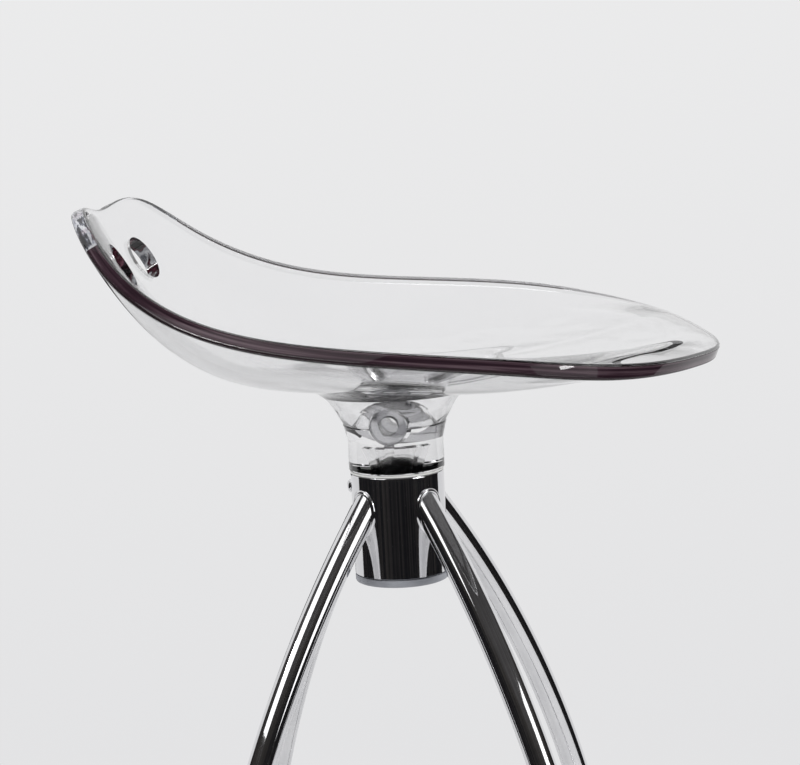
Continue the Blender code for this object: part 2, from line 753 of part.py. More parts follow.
def make_glides(parts, cutters, base):
    """Plastic feet plugged into the legs, flat where they stand on the floor."""
    black = make_material("glide plastic", BLACK, 0.5)
    radius, height = leg_line()[-1]
    size = 4 * (radius + GLIDE_RADIUS)
    block = bpy.data.meshes.new("floor")
    shape = bmesh.new()
    bmesh.ops.create_cube(shape, size=size)
    shape.to_mesh(block)
    shape.free()
    floor = as_cutter(add_object("floor", block, cutters, base))
    floor.location = (0, 0, -size / 2)
    for place, angle in LEG_PLACES:
        name = "foot_glide_" + place
        glide = add_object(name, turned_mesh(name, glide_profile(), GLIDE_STEPS), parts, base, black)
        glide.location = (radius * math.cos(angle), radius * math.sin(angle), height)
        glide.rotation_euler = (0, -LEG_ANGLE_FOOT, angle)
        add_boolean(glide, floor, "DIFFERENCE")


def make_foot_ring(parts, base):
    """Round foot rest that lies against the inner sides of the legs."""
    leg_radius, lean = leg_at(RING_HEIGHT)
    bpy.ops.mesh.primitive_torus_add(
        major_radius=leg_radius - (LEG_RADIUS + GAP + RING_BAR_RADIUS) / math.cos(lean),
        minor_radius=RING_BAR_RADIUS,
        major_segments=RING_STEPS,
        minor_segments=RING_SIDE_STEPS,
    )
    ring = bpy.context.active_object
    for home in list(ring.users_collection):
        home.objects.unlink(ring)
    parts.objects.link(ring)
    ring.name = "foot_ring"
    ring.parent = base
    ring.location = (0, 0, RING_HEIGHT)
    ring.data.shade_smooth()
    ring.data.materials.append(make_material("ring chrome", CHROME, 0.06, 1.0))


def main():
    clear_scene()
    parts = make_collection("bar stool")
    cutters = make_collection("cutters")
    swivel = add_empty("seat_swivel", parts, height=HUB_TOP)
    base = add_empty("base_frame", parts, turn=BASE_TURN)

    seat = make_seat(parts, cutters, swivel)
    stem = make_stem(parts, cutters, swivel, seat)
    plate = make_retaining_plate(parts, swivel)
    make_plate_screws(parts, swivel)
    make_screw_holes(stem, plate, cutters, swivel)

    screw_cutter = side_screw_hole(cutters, base)
    make_thrust_washer(parts, base)
    make_sleeve(parts, base, screw_cutter)
    make_hub(parts, base, screw_cutter)
    make_side_screw(parts, base)
    make_hub_cap(parts, base)
    make_legs(parts, cutters, base)
    make_glides(parts, cutters, base)
    make_foot_ring(parts, base)


main()
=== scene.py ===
import functools
import math

import bmesh
import bpy
from mathutils import Euler, Matrix, Vector


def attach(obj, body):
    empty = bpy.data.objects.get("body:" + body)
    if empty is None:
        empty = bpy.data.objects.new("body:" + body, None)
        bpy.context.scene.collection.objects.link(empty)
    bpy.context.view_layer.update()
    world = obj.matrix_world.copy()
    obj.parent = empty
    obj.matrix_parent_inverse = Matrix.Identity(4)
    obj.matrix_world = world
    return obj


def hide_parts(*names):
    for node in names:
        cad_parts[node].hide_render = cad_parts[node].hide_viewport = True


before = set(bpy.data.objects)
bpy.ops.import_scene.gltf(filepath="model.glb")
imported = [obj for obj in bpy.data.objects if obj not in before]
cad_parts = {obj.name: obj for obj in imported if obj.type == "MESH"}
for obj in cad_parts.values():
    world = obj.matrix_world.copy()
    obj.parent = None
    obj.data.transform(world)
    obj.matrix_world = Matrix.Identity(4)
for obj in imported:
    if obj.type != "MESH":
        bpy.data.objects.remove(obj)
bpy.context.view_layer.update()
scene = bpy.context.scene
scene.view_settings.view_transform = "Standard"


# ways to make nodes

def fill(tree, socket, value):
    # a socket takes what another node gives, or a plain value
    if isinstance(value, bpy.types.NodeSocket):
        tree.links.new(value, socket)
    else:
        socket.default_value = value


def fillNode(tree, node, values):
    for key, value in values.items():
        fill(tree, node.inputs[key], value)


def addNode(tree, kind, values=None, **settings):
    node = tree.nodes.new(kind)
    for key, value in settings.items():
        setattr(node, key, value)
    fillNode(tree, node, values or {})
    return node


def sums(tree, operation, *values):
    return addNode(tree, "ShaderNodeMath", dict(enumerate(values)), operation=operation).outputs[0]


# ways to make materials

def startFinish(name):
    finish = bpy.data.materials.new(name)
    finish.use_nodes = True
    tree = finish.node_tree
    return finish, tree, tree.nodes["Principled BSDF"]


def surfaceNoise(tree, scale, detail=3.0, stretch=(1, 1, 1), roughness=0.55, source="Object"):
    place = addNode(tree, "ShaderNodeTexCoord").outputs[source]
    spot = addNode(tree, "ShaderNodeMapping", {"Vector": place, "Scale": stretch}).outputs["Vector"]
    noise = addNode(tree, "ShaderNodeTexNoise", {
        "Vector": spot, "Scale": scale, "Detail": detail, "Roughness": roughness,
    })
    return noise.outputs["Fac"]


def spread(tree, value, low, high, start=0.3, end=0.7):
    node = addNode(tree, "ShaderNodeMapRange", {
        "Value": value, "From Min": start, "From Max": end, "To Min": low, "To Max": high,
    })
    return node.outputs["Result"]


def tint(tree, value, dark, light):
    # dark and light are colours, or what other nodes give
    node = addNode(tree, "ShaderNodeMix", {"Factor": value}, data_type="RGBA")
    sockets = [socket for socket in node.inputs if socket.type == "RGBA"]
    for socket, colour in zip(sockets, (dark, light)):
        fill(tree, socket, (*colour, 1) if isinstance(colour, tuple) else colour)
    return next(socket for socket in node.outputs if socket.type == "RGBA")


def bands(tree, value, stops):
    # colours in turn, each at its own level of the value
    node = addNode(tree, "ShaderNodeValToRGB", {"Fac": value})
    places = node.color_ramp.elements
    while len(places) < len(stops):
        places.new(0.5)
    for place, (level, colour) in zip(places, stops):
        place.position = level
        place.color = (*colour, 1)
    return node.outputs["Color"]


def bump(tree, height, strength, distance):
    node = addNode(tree, "ShaderNodeBump", {"Height": height, "Strength": strength, "Distance": distance})
    return node.outputs["Normal"]


chromeLook = {
    "dark": (0.70, 0.70, 0.715), "light": (0.80, 0.80, 0.81), "polish": (0.03, 0.075),
    "smearScale": 30, "lineScale": 900, "lineStrength": 0.02, "lineDepth": 0.0002,
}


def chromeFinish(name, stretch=(1, 1, 1)):
    look = chromeLook
    finish, tree, shader = startFinish(name)
    smear = surfaceNoise(tree, look["smearScale"], detail=4)
    lines = surfaceNoise(tree, look["lineScale"], detail=2, stretch=stretch)
    fillNode(tree, shader, {
        "Metallic": 1.0, "Base Color": tint(tree, spread(tree, smear, 0, 1), look["dark"], look["light"]),
        "Roughness": spread(tree, smear, *look["polish"]),
        "Normal": bump(tree, lines, look["lineStrength"], look["lineDepth"]),
    })
    return finish


plasticLook = {
    "spigotBlack": {
        "dark": (0.006, 0.006, 0.007), "light": (0.015, 0.015, 0.016), "polish": (0.35, 0.5),
        "grain": 700, "depth": 0.0004,
    },
    "capPlastic": {
        "dark": (0.26, 0.27, 0.30), "light": (0.34, 0.35, 0.38), "polish": (0.38, 0.52),
        "grain": 900, "depth": 0.0002,
    },
    "washerNylon": {
        "dark": (0.80, 0.80, 0.78), "light": (0.88, 0.88, 0.86), "polish": (0.3, 0.45),
        "grain": 700, "depth": 0.0001,
    },
    "sleeveNylon": {
        "dark": (0.02, 0.02, 0.022), "light": (0.035, 0.035, 0.04), "polish": (0.35, 0.5),
        "grain": 700, "depth": 0.0001,
    },
    "footPlastic": {
        "dark": (0.02, 0.02, 0.023), "light": (0.04, 0.04, 0.044), "polish": (0.4, 0.6),
        "grain": 800, "depth": 0.0003,
    },
}
plasticGrain = {"strength": 0.25, "mottle": 12}


def plasticFinish(name):
    look = plasticLook[name]
    finish, tree, shader = startFinish(name)
    mottle = surfaceNoise(tree, look["grain"] / plasticGrain["mottle"])
    fine = surfaceNoise(tree, look["grain"], detail=2)
    fillNode(tree, shader, {
        "Base Color": tint(tree, spread(tree, mottle, 0, 1), look["dark"], look["light"]),
        "Roughness": spread(tree, fine, *look["polish"]),
        "Normal": bump(tree, fine, plasticGrain["strength"], look["depth"]),
    })
    return finish


steelLook = {
    "dark": (0.42, 0.42, 0.44), "light": (0.62, 0.62, 0.64), "polish": (0.22, 0.42),
    "scale": 600, "stretch": (1, 1, 0.05), "strength": 0.1, "depth": 0.0002,
}


def steelFinish(name):
    look = steelLook
    finish, tree, shader = startFinish(name)
    brushed = surfaceNoise(tree, look["scale"], stretch=look["stretch"])
    fillNode(tree, shader, {
        "Metallic": 1.0, "Base Color": tint(tree, brushed, look["dark"], look["light"]),
        "Roughness": spread(tree, brushed, *look["polish"]),
        "Normal": bump(tree, brushed, look["strength"], look["depth"]),
    })
    return finish


clearLook = {
    "moulding": {"stops": [(0.3, (0.96, 0.96, 0.965)), (0.7, (0.985, 0.985, 0.99))], "scale": 9},
    # painted shade: the rim's edge band is painted dark purple-brown with lengthwise streaks, standing in for
    # the dark seen into the edge of the clear sheet
    "paintedShadeBand": {
        "stops": [(0.36, (0.020, 0.010, 0.015)), (0.50, (0.040, 0.022, 0.030)),
                  (0.66, (0.115, 0.080, 0.094))],
        "scale": 9, "stretch": (1, 60, 1), "source": "UV", "through": 0.1, "gloss": 0.1,
        "inside": (0.88, 0.87, 0.88),
    },
    # painted shade: the rim's rounded corners are painted dark, half clear
    "corner": {
        "stops": [(0.3, (0.026, 0.014, 0.019)), (0.7, (0.060, 0.040, 0.047))],
        "scale": 9, "stretch": (1, 45, 1), "source": "UV", "through": 0.5,
    },
    # painted shade and painted glints: the eye walls are painted black, wine and white in patches for the
    # dark and the glints seen in the holes
    "eye": {
        "stops": [(0.36, (0.004, 0.003, 0.004)), (0.45, (0.010, 0.006, 0.008)), (0.49, (0.11, 0.022, 0.038)),
                  (0.53, (0.03, 0.010, 0.016)), (0.57, (0.85, 0.86, 0.90)), (0.66, (0.26, 0.27, 0.30))],
        "scale": 75, "stretch": (1, 1, 0.7), "through": 0.6,
    },
    # painted highlights and painted shade: crossing white and dark streaks on the back end's edge stand in
    # for its prismatic glints
    "paintedPrismStreaks": {
        "stops": [(0.42, (0.010, 0.010, 0.014)), (0.47, (0.20, 0.21, 0.26)), (0.51, (0.97, 0.98, 1.0)),
                  (0.58, (0.62, 0.64, 0.72)), (0.64, (0.05, 0.05, 0.06))],
        "scale": 55, "stretch": (1, 5, 1), "source": "UV", "through": 0.5,
    },
    "core": {
        "stops": [(0.3, (0.90, 0.90, 0.90)), (0.7, (0.99, 0.99, 0.99))],
        "scale": 300, "stretch": (1, 1, 0.02), "through": 1.0, "frost": 0.12,
    },
    # painted shade: the socket's ceiling is painted as a dark grey disc, standing in for the dark band seen
    # up through the flare
    "paintedDarkCeiling": {
        "stops": [(0.35, (0.05, 0.045, 0.05)), (0.65, (0.22, 0.21, 0.225))],
        "scale": 55, "through": 0.3, "frost": 0.15,
    },
    "bush": {
        "stops": [(0.3, (0.66, 0.66, 0.68)), (0.7, (0.80, 0.80, 0.82))],
        "scale": 40, "through": 0.9, "frost": 0.16,
    },
}
# painted shade: the front tip's corners are painted dark without gloss, and pale from inside
clearLook["tip"] = {**clearLook["corner"], "gloss": 0.0, "inside": (0.90, 0.89, 0.90)}
clearBody = {
    "index": 1.585, "polish": 0.012, "rippleScale": 22, "rippleStrength": 0.04, "rippleDepth": 0.002,
}


def clearFinish(name):
    look = clearLook[name]
    finish, tree, shader = startFinish(name + "Clear")
    stretch, source = look.get("stretch", (1, 1, 1)), look.get("source", "Object")
    cloud = surfaceNoise(tree, look["scale"], stretch=stretch, source=source)
    ripple = surfaceNoise(tree, clearBody["rippleScale"], detail=1)
    frost = look.get("frost", 0.0)
    colour = bands(tree, cloud, look["stops"])
    if "inside" in look:
        # painted shade: the edge is painted dark only where it is looked into from outside, and pale from
        # inside
        side = addNode(tree, "ShaderNodeNewGeometry").outputs["Backfacing"]
        colour = tint(tree, side, colour, look["inside"])
    fillNode(tree, shader, {
        "Transmission Weight": look.get("through", 1.0), "IOR": clearBody["index"],
        "Specular IOR Level": look.get("gloss", 0.5), "Base Color": colour,
        "Roughness": spread(tree, cloud, frost, frost + clearBody["polish"]),
        "Normal": bump(tree, ripple, clearBody["rippleStrength"], clearBody["rippleDepth"]),
    })
    return finish


# ways to make meshes

meshDetail = {
    "weld": 0.000005, "beadSides": 16, "copeSides": 128, "copeDepth": 0.4, "ringSteps": 192, "ringSides": 32,
}


def addObject(name, data):
    item = bpy.data.objects.new(name, data)
    scene.collection.objects.link(item)
    return item


def meshFrom(shape, name):
    mesh = bpy.data.meshes.new(name)
    shape.to_mesh(mesh)
    shape.free()
    return mesh


def addPiece(name, mesh, body, node=None, sharp=35):
    mesh.name = name
    mesh.shade_smooth()
    mesh.set_sharp_from_angle(angle=math.radians(sharp))
    piece = addObject(name, mesh)
    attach(piece, body)
    if node:
        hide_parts(*([node] if isinstance(node, str) else node))


def lathe(profile, steps, closed=False):
    # the profile is (radius, height) from the top down its outer side
    shape = bmesh.new()
    points = [shape.verts.new((radius, 0, height)) for radius, height in profile]
    pairs = list(zip(points, points[1:]))
    if closed:
        pairs.append((points[-1], points[0]))
    edges = [shape.edges.new(pair) for pair in pairs]
    bmesh.ops.spin(shape, geom=points + edges, cent=(0, 0, 0), axis=(0, 0, 1), angle=2 * math.pi,
                   steps=steps)
    bmesh.ops.remove_doubles(shape, verts=shape.verts, dist=meshDetail["weld"])
    bmesh.ops.recalc_face_normals(shape, faces=shape.faces)
    return meshFrom(shape, "turned")


def plainMesh(item):
    bpy.context.view_layer.update()
    done = item.evaluated_get(bpy.context.evaluated_depsgraph_get())
    mesh = bpy.data.meshes.new_from_object(done)
    bpy.data.objects.remove(item, do_unlink=True)
    return mesh


def cutAway(mesh, cutters):
    item = addObject("cutting", mesh)
    for cutter in cutters:
        modifier = item.modifiers.new(cutter.name, "BOOLEAN")
        modifier.operation = "DIFFERENCE"
        modifier.solver = "EXACT"
        modifier.object = cutter
    result = plainMesh(item)
    for cutter in cutters:
        bpy.data.objects.remove(cutter, do_unlink=True)
    return result


def barrel(name, radius, length, place, along, steps=96):
    shape = bmesh.new()
    bmesh.ops.create_cone(shape, cap_ends=True, segments=steps, radius1=radius, radius2=radius,
                          depth=length)
    turn = Vector(along).to_track_quat("Z", "Y").to_matrix().to_4x4()
    bmesh.ops.transform(shape, matrix=Matrix.Translation(place) @ turn, verts=shape.verts)
    return addObject(name, meshFrom(shape, name))


# node trees for what follows a path or repeats

def startTree(name, measures, counts=()):
    # every tree takes a mesh and a finish, and the named lengths, angles and counts
    tree = bpy.data.node_groups.new(name, "GeometryNodeTree")
    inputs = [("Geometry", "NodeSocketGeometry"), ("Finish", "NodeSocketMaterial")]
    inputs += [(label, "NodeSocketFloat") for label in measures]
    inputs += [(label, "NodeSocketInt") for label in counts]
    for label, kind in inputs:
        tree.interface.new_socket(name=label, in_out="INPUT", socket_type=kind)
    tree.interface.new_socket(name="Geometry", in_out="OUTPUT", socket_type="NodeSocketGeometry")
    source = addNode(tree, "NodeGroupInput")
    return tree, {socket.name: socket for socket in source.outputs}


def runTree(tree, mesh, values):
    item = addObject(tree.name, mesh)
    modifier = item.modifiers.new(tree.name, "NODES")
    modifier.node_group = tree
    for socket in tree.interface.items_tree:
        if socket.in_out == "INPUT" and socket.name in values:
            modifier[socket.identifier] = values[socket.name]
    return plainMesh(item)


def sweep(tree, path, radius, sides, capped=False):
    # a round bar along a path
    circle = addNode(tree, "GeometryNodeCurvePrimitiveCircle", {"Resolution": sides, "Radius": radius})
    bar = addNode(tree, "GeometryNodeCurveToMesh", {
        "Curve": path, "Profile Curve": circle.outputs["Curve"], "Fill Caps": capped,
    })
    return bar.outputs["Mesh"]


def lifted(tree, mesh, height):
    up = addNode(tree, "ShaderNodeCombineXYZ", {"Z": height}).outputs[0]
    return addNode(tree, "GeometryNodeTransform", {"Geometry": mesh, "Translation": up}).outputs["Geometry"]


def paintEnd(tree, value, geometry):
    # makes copies real and gives them the finish
    real = addNode(tree, "GeometryNodeRealizeInstances", {"Geometry": geometry}).outputs["Geometry"]
    paint = addNode(tree, "GeometryNodeSetMaterial", {"Geometry": real, "Material": value["Finish"]})
    addNode(tree, "NodeGroupOutput", {"Geometry": paint.outputs["Geometry"]})
    return tree


def copiesEnd(tree, value, geometry):
    # turns copies about the column
    points = addNode(tree, "GeometryNodePoints", {"Count": value["Copies"]}).outputs[0]
    number = addNode(tree, "GeometryNodeInputIndex").outputs[0]
    step = sums(tree, "DIVIDE", 2 * math.pi, value["Copies"])
    angle = sums(tree, "ADD", sums(tree, "MULTIPLY", number, step), value["First angle"])
    turn = addNode(tree, "ShaderNodeCombineXYZ", {"Z": angle}).outputs[0]
    rotation = addNode(tree, "FunctionNodeEulerToRotation", {0: turn}).outputs[0]
    copies = addNode(tree, "GeometryNodeInstanceOnPoints", {
        "Points": points, "Instance": geometry, "Rotation": rotation,
    })
    return paintEnd(tree, value, copies.outputs["Instances"])


def copiesTree():
    tree, value = startTree("copiesAround", ["First angle"], ["Copies"])
    return copiesEnd(tree, value, value["Geometry"])


def beadTree():
    # a round bead along a closed path
    tree, value = startTree("beadAround", ["Bead radius", "First angle"], ["Copies"])
    path = addNode(tree, "GeometryNodeMeshToCurve", {"Mesh": value["Geometry"]}).outputs["Curve"]
    return copiesEnd(tree, value, sweep(tree, path, value["Bead radius"], meshDetail["beadSides"]))


def legTree():
    # a tube that leaves the column at one lean, bends on one radius to another and then runs straight
    tree, value = startTree("bentLegs", [
        "Start radius", "Start height", "Lean at top", "Lean at foot", "Bend radius", "Foot height",
        "Lead in", "Tube radius", "Column radius", "First angle",
    ], ["Points", "Sides", "Copies"])
    plus, less, times, over, sine, cosine, least, most = [
        functools.partial(sums, tree, kind)
        for kind in ("ADD", "SUBTRACT", "MULTIPLY", "DIVIDE", "SINE", "COSINE", "MINIMUM", "MAXIMUM")
    ]
    leanTop, leanFoot, bend = value["Lean at top"], value["Lean at foot"], value["Bend radius"]
    arc = times(bend, less(leanTop, leanFoot))
    arcDrop = times(bend, less(sine(leanTop), sine(leanFoot)))
    run = over(less(less(value["Start height"], arcDrop), value["Foot height"]), cosine(leanFoot))
    share = addNode(tree, "GeometryNodeSplineParameter").outputs["Factor"]
    along = less(times(share, plus(plus(arc, run), value["Lead in"])), value["Lead in"])
    bent = least(most(along, 0.0), arc)
    lean = less(leanTop, over(bent, bend))
    straight = plus(least(along, 0.0), most(less(along, arc), 0.0))
    outward = plus(times(bend, less(cosine(lean), cosine(leanTop))), times(straight, sine(lean)))
    outward = plus(outward, value["Start radius"])
    down = plus(times(bend, less(sine(leanTop), sine(lean))), times(straight, cosine(lean)))
    place = addNode(tree, "ShaderNodeCombineXYZ", {"X": outward, "Z": less(value["Start height"], down)})
    line = addNode(tree, "GeometryNodeCurvePrimitiveLine").outputs["Curve"]
    points = addNode(tree, "GeometryNodeResampleCurve", {"Curve": line, "Count": value["Points"]})
    path = addNode(tree, "GeometryNodeSetPosition", {
        "Geometry": points.outputs["Curve"], "Position": place.outputs[0],
    })
    tube = sweep(tree, path.outputs["Geometry"], value["Tube radius"], value["Sides"], True)
    core = addNode(tree, "GeometryNodeMeshCylinder", {
        "Vertices": meshDetail["copeSides"], "Depth": meshDetail["copeDepth"],
        "Radius": value["Column radius"],
    })
    core = lifted(tree, core.outputs["Mesh"], value["Start height"])
    cope = addNode(tree, "GeometryNodeMeshBoolean", {"Mesh 1": tube, "Mesh 2": core},
                   operation="DIFFERENCE", solver="EXACT")
    return copiesEnd(tree, value, cope.outputs["Mesh"])


def ringTree():
    tree, value = startTree("roundBar", ["Ring radius", "Bar radius", "Height"])
    path = addNode(tree, "GeometryNodeCurvePrimitiveCircle", {
        "Resolution": meshDetail["ringSteps"], "Radius": value["Ring radius"],
    })
    bar = sweep(tree, path.outputs["Curve"], value["Bar radius"], meshDetail["ringSides"])
    return paintEnd(tree, value, lifted(tree, bar, value["Height"]))


# sizes that several pieces share, in metres
column = {
    "top": 0.690, "radius": 0.0325, "bore": 0.0295, "length": 0.071, "gap": 0.0003, "turn": math.radians(3.1),
    "steps": 160,
}
inner = {
    "sleeve": 0.0292, "sleeveBore": 0.0259, "spigot": 0.0255, "spigotFoot": -0.046, "washer": 0.0015,
    "play": 0.001, "steps": 128,
}


# seat: clear shell with a hollow flare, the stem in the flare and the bushes across their joint
seatShape = {
    "pan": 0.072, "wall": 0.010, "edgeRound": 0.002, "panCurve": 2.5, "backCurve": 3.9,
    "backStart": math.radians(95), "backEnd": math.radians(160),
    "lipDrop": 0.010, "lipWidth": 0.033, "lipFull": math.radians(30), "lipEnd": math.radians(66),
    "eyeRadius": 0.0165, "eyeSpacing": 0.058, "eyeHeight": 0.152, "eyeCut": 0.05,
    "sectors": 224, "rings": 72, "underRings": 48, "blendRings": 8, "cornerRings": 5, "sharp": 32,
    "slopeStep": 0.0008, "edgeInset": 0.0009,
    # which rows of the rim have a finish of their own, and up to where
    "clearCorner": 4, "clearUnder": 2, "rimReach": 0.215,
    "paintedShadeEnd": math.radians(147), "tipEnd": math.radians(62),
}
rimStations = [  # degrees from the front, reach, rise above the pan
    (0, 0.2245, 0.010), (20, 0.2235, 0.013), (49, 0.2385, 0.0226), (66, 0.2345, 0.0328), (90, 0.2145, 0.042),
    (124, 0.2018, 0.0638), (142, 0.2036, 0.0929), (158, 0.203, 0.120), (180, 0.198, 0.1175),
]
neckShape = {
    "radius": 0.0332, "foot": 0.0021, "chamfer": 0.0006, "collarFoot": 0.0235, "collarTop": 0.0345,
    "collarRadius": 0.0357, "collarOut": 0.0002, "collarUp": 0.0008,
    "flareLow": math.radians(28.5), "flareHigh": math.radians(68), "flareEnd": math.radians(80),
    "flareStart": 0.045, "flareSteps": 16, "blendReach": 0.080, "jointOut": 0.2, "jointIn": 0.5,
    "socketRadius": 0.0347, "socketWall": 0.0040, "socketLean": math.radians(49), "socketSteps": 10,
    "socketRound": 0.0030, "socketCorner": [(0.3, -0.2), (-0.4, 0.0)], "ceiling": 0.058, "darkCeilingRadius": 0.033,
    "bellRoom": 0.0008, "bellFullness": 2.2, "bellSkirt": 1.4, "bellSteps": 24,
    "coreTop": 0.0205, "coreTopRadius": 0.0150, "coreMouth": 0.0105, "coreRound": 0.0015, "coreSkin": 0.0001,
}
bushShape = {
    "height": 0.036, "radius": 0.0127, "bore": 0.0064, "floor": 0.021, "end": 0.0335, "edge": 0.0004,
    "steps": 96, "pocket": 0.06, "floorTilt": 0.9,
}
seatFinish = {name: number for number, name in enumerate((
    "moulding", "paintedShadeBand", "eye", "paintedPrismStreaks", "corner", "core", "paintedDarkCeiling", "spigotBlack", "tip",
))}


def smoothStep(value):
    share = min(max(value, 0.0), 1.0)
    return share * share * (3 - 2 * share)


def splineSlopes(angles, values, sweeps=60):
    # slopes of the smooth curve through the stations, level at the front and the back
    slopes = [0.0] * len(values)
    for _ in range(sweeps):
        for i in range(1, len(values) - 1):
            before, after = angles[i] - angles[i - 1], angles[i + 1] - angles[i]
            pull = 3 * ((values[i] - values[i - 1]) / before**2 + (values[i + 1] - values[i]) / after**2)
            pull -= slopes[i - 1] / before + slopes[i + 1] / after
            slopes[i] = pull / (2 / before + 2 / after)
    return slopes


rimAngles = [math.radians(station[0]) for station in rimStations]
rimCurves = []
for part in (1, 2):
    stationValues = [station[part] for station in rimStations]
    rimCurves.append((stationValues, splineSlopes(rimAngles, stationValues)))


def rimAt(angle):
    # reach and rise of the rim
    angle = abs(math.remainder(angle, 2 * math.pi))
    i = 0
    while i < len(rimAngles) - 2 and angle > rimAngles[i + 1]:
        i += 1
    span = rimAngles[i + 1] - rimAngles[i]
    t = (angle - rimAngles[i]) / span
    return [values[i] * (2 * t**3 - 3 * t**2 + 1) + values[i + 1] * (3 * t**2 - 2 * t**3)
            + span * slopes[i] * (t**3 - 2 * t**2 + t) + span * slopes[i + 1] * (t**3 - t**2)
            for values, slopes in rimCurves]


def shellTop(share, angle):
    shape = seatShape
    reach, rise = rimAt(angle)
    away = abs(math.remainder(angle, 2 * math.pi))
    back = smoothStep((away - shape["backStart"]) / (shape["backEnd"] - shape["backStart"]))
    curve = shape["panCurve"] + (shape["backCurve"] - shape["panCurve"]) * back
    lipFade = smoothStep((away - shape["lipFull"]) / (shape["lipEnd"] - shape["lipFull"]))
    lip = shape["lipDrop"] * (1 - lipFade)
    roll = max(0.0, 1 - (1 - share) * reach / shape["lipWidth"])
    height = shape["pan"] + (rise + lip) * share**curve - lip * roll**2
    return Vector((share * reach * math.cos(angle), share * reach * math.sin(angle), height + column["top"]))


def shellFrame(share, angle):
    # outward and normal directions of the upper face
    step = seatShape["slopeStep"]
    outward = shellTop(share + step, angle) - shellTop(share - step, angle)
    around = shellTop(share, angle + step) - shellTop(share, angle - step)
    normal = outward.cross(around).normalized()
    return around.cross(normal).normalized(), normal


def eyePlace(side, close=1e-5):
    # halves the range until the point is at the eye's height
    low, high = 0.0, 1.0
    while high - low > close:
        share = (low + high) / 2
        angle = math.pi - math.asin(side * seatShape["eyeSpacing"] / 2 / (share * rimStations[-1][1]))
        if shellTop(share, angle).z - column["top"] < seatShape["eyeHeight"]:
            low = share
        else:
            high = share
    return shellTop(share, angle), shellFrame(share, angle)[1]


def bezier(start, startPull, endPull, end, t):
    u = 1 - t
    return start * u**3 + startPull * 3 * u * u * t + endPull * 3 * u * t * t + end * t**3


def flareAt(lean):
    # the curved upper part of the flare; below it the flare is a plain cone
    shape = neckShape
    rise = seatShape["pan"] - seatShape["wall"] - shape["flareStart"]
    bend = rise / (math.sin(shape["flareEnd"]) - math.sin(shape["flareLow"]))
    radius = shape["collarRadius"] + (shape["flareStart"] - shape["collarTop"]) * math.tan(shape["flareLow"])
    return (radius + bend * (math.cos(shape["flareLow"]) - math.cos(lean)),
            shape["flareStart"] + bend * (math.sin(lean) - math.sin(shape["flareLow"])))


def flareLine():
    # from the flare's upper end down to the joint
    shape = neckShape
    steps, high, low = shape["flareSteps"], shape["flareHigh"], shape["flareLow"]
    line = [flareAt(high + (low - high) * i / steps) for i in range(steps + 1)]
    radius, joint, cut = shape["collarRadius"], shape["collarTop"], shape["chamfer"]
    return line + [(radius + shape["jointOut"] * cut, joint + cut), (radius - shape["jointIn"] * cut, joint)]


def socketLine():
    # up the socket, which follows the flare at one wall thickness, and along its ceiling
    shape = neckShape
    wall, corner, ceiling = shape["socketWall"], shape["socketRound"], shape["ceiling"]
    steps, low, high = shape["socketSteps"], shape["flareLow"], shape["socketLean"]
    line = [(shape["socketRadius"], shape["collarTop"])]
    for i in range(steps + 1):
        lean = low + (high - low) * i / steps
        radius, height = flareAt(lean)
        line.append((radius - wall * math.cos(lean), height + wall * math.sin(lean)))
    radius = line[-1][0]
    line += [(radius + out * corner, ceiling + up * corner) for out, up in shape["socketCorner"]]
    return line + [(shape["darkCeilingRadius"], ceiling)]


def stemLine():
    # from the top of the bell down the outside of the stem, then up the cored recess
    shape = neckShape
    gap, cut, steps = column["gap"], shape["chamfer"], shape["bellSteps"]
    joint = shape["collarTop"] - gap
    reach = shape["socketRadius"] - gap
    rise = shape["ceiling"] - shape["bellRoom"] - joint
    line = []
    for i in range(steps + 1):
        share = math.sin(math.pi / 2 * i / steps)
        lift = rise * (1 - share ** shape["bellFullness"]) ** shape["bellSkirt"]
        line.append((reach * share, joint + lift))
    radius, collar, foot = shape["radius"], shape["collarFoot"], shape["foot"]
    line += [(shape["collarRadius"] - cut, joint), (shape["collarRadius"], joint - cut)]
    line += [(radius + shape["collarOut"], collar + shape["collarUp"]), (radius, collar)]
    line += [(radius, 0.5 * (collar + foot)), (radius, foot + cut), (radius - cut, foot)]
    spigot, end = inner["spigot"], inner["spigotFoot"]
    line += [(spigot, foot), (spigot, -gap), (spigot, 0.5 * end), (spigot, end)]
    mouth, top, corner = shape["coreMouth"], shape["coreTop"], shape["coreRound"]
    line += [(mouth, end), (mouth, 0.5 * end), (mouth, 0), (shape["coreTopRadius"], top - corner)]
    return line + [(shape["coreTopRadius"] - corner, top), (0, top)]


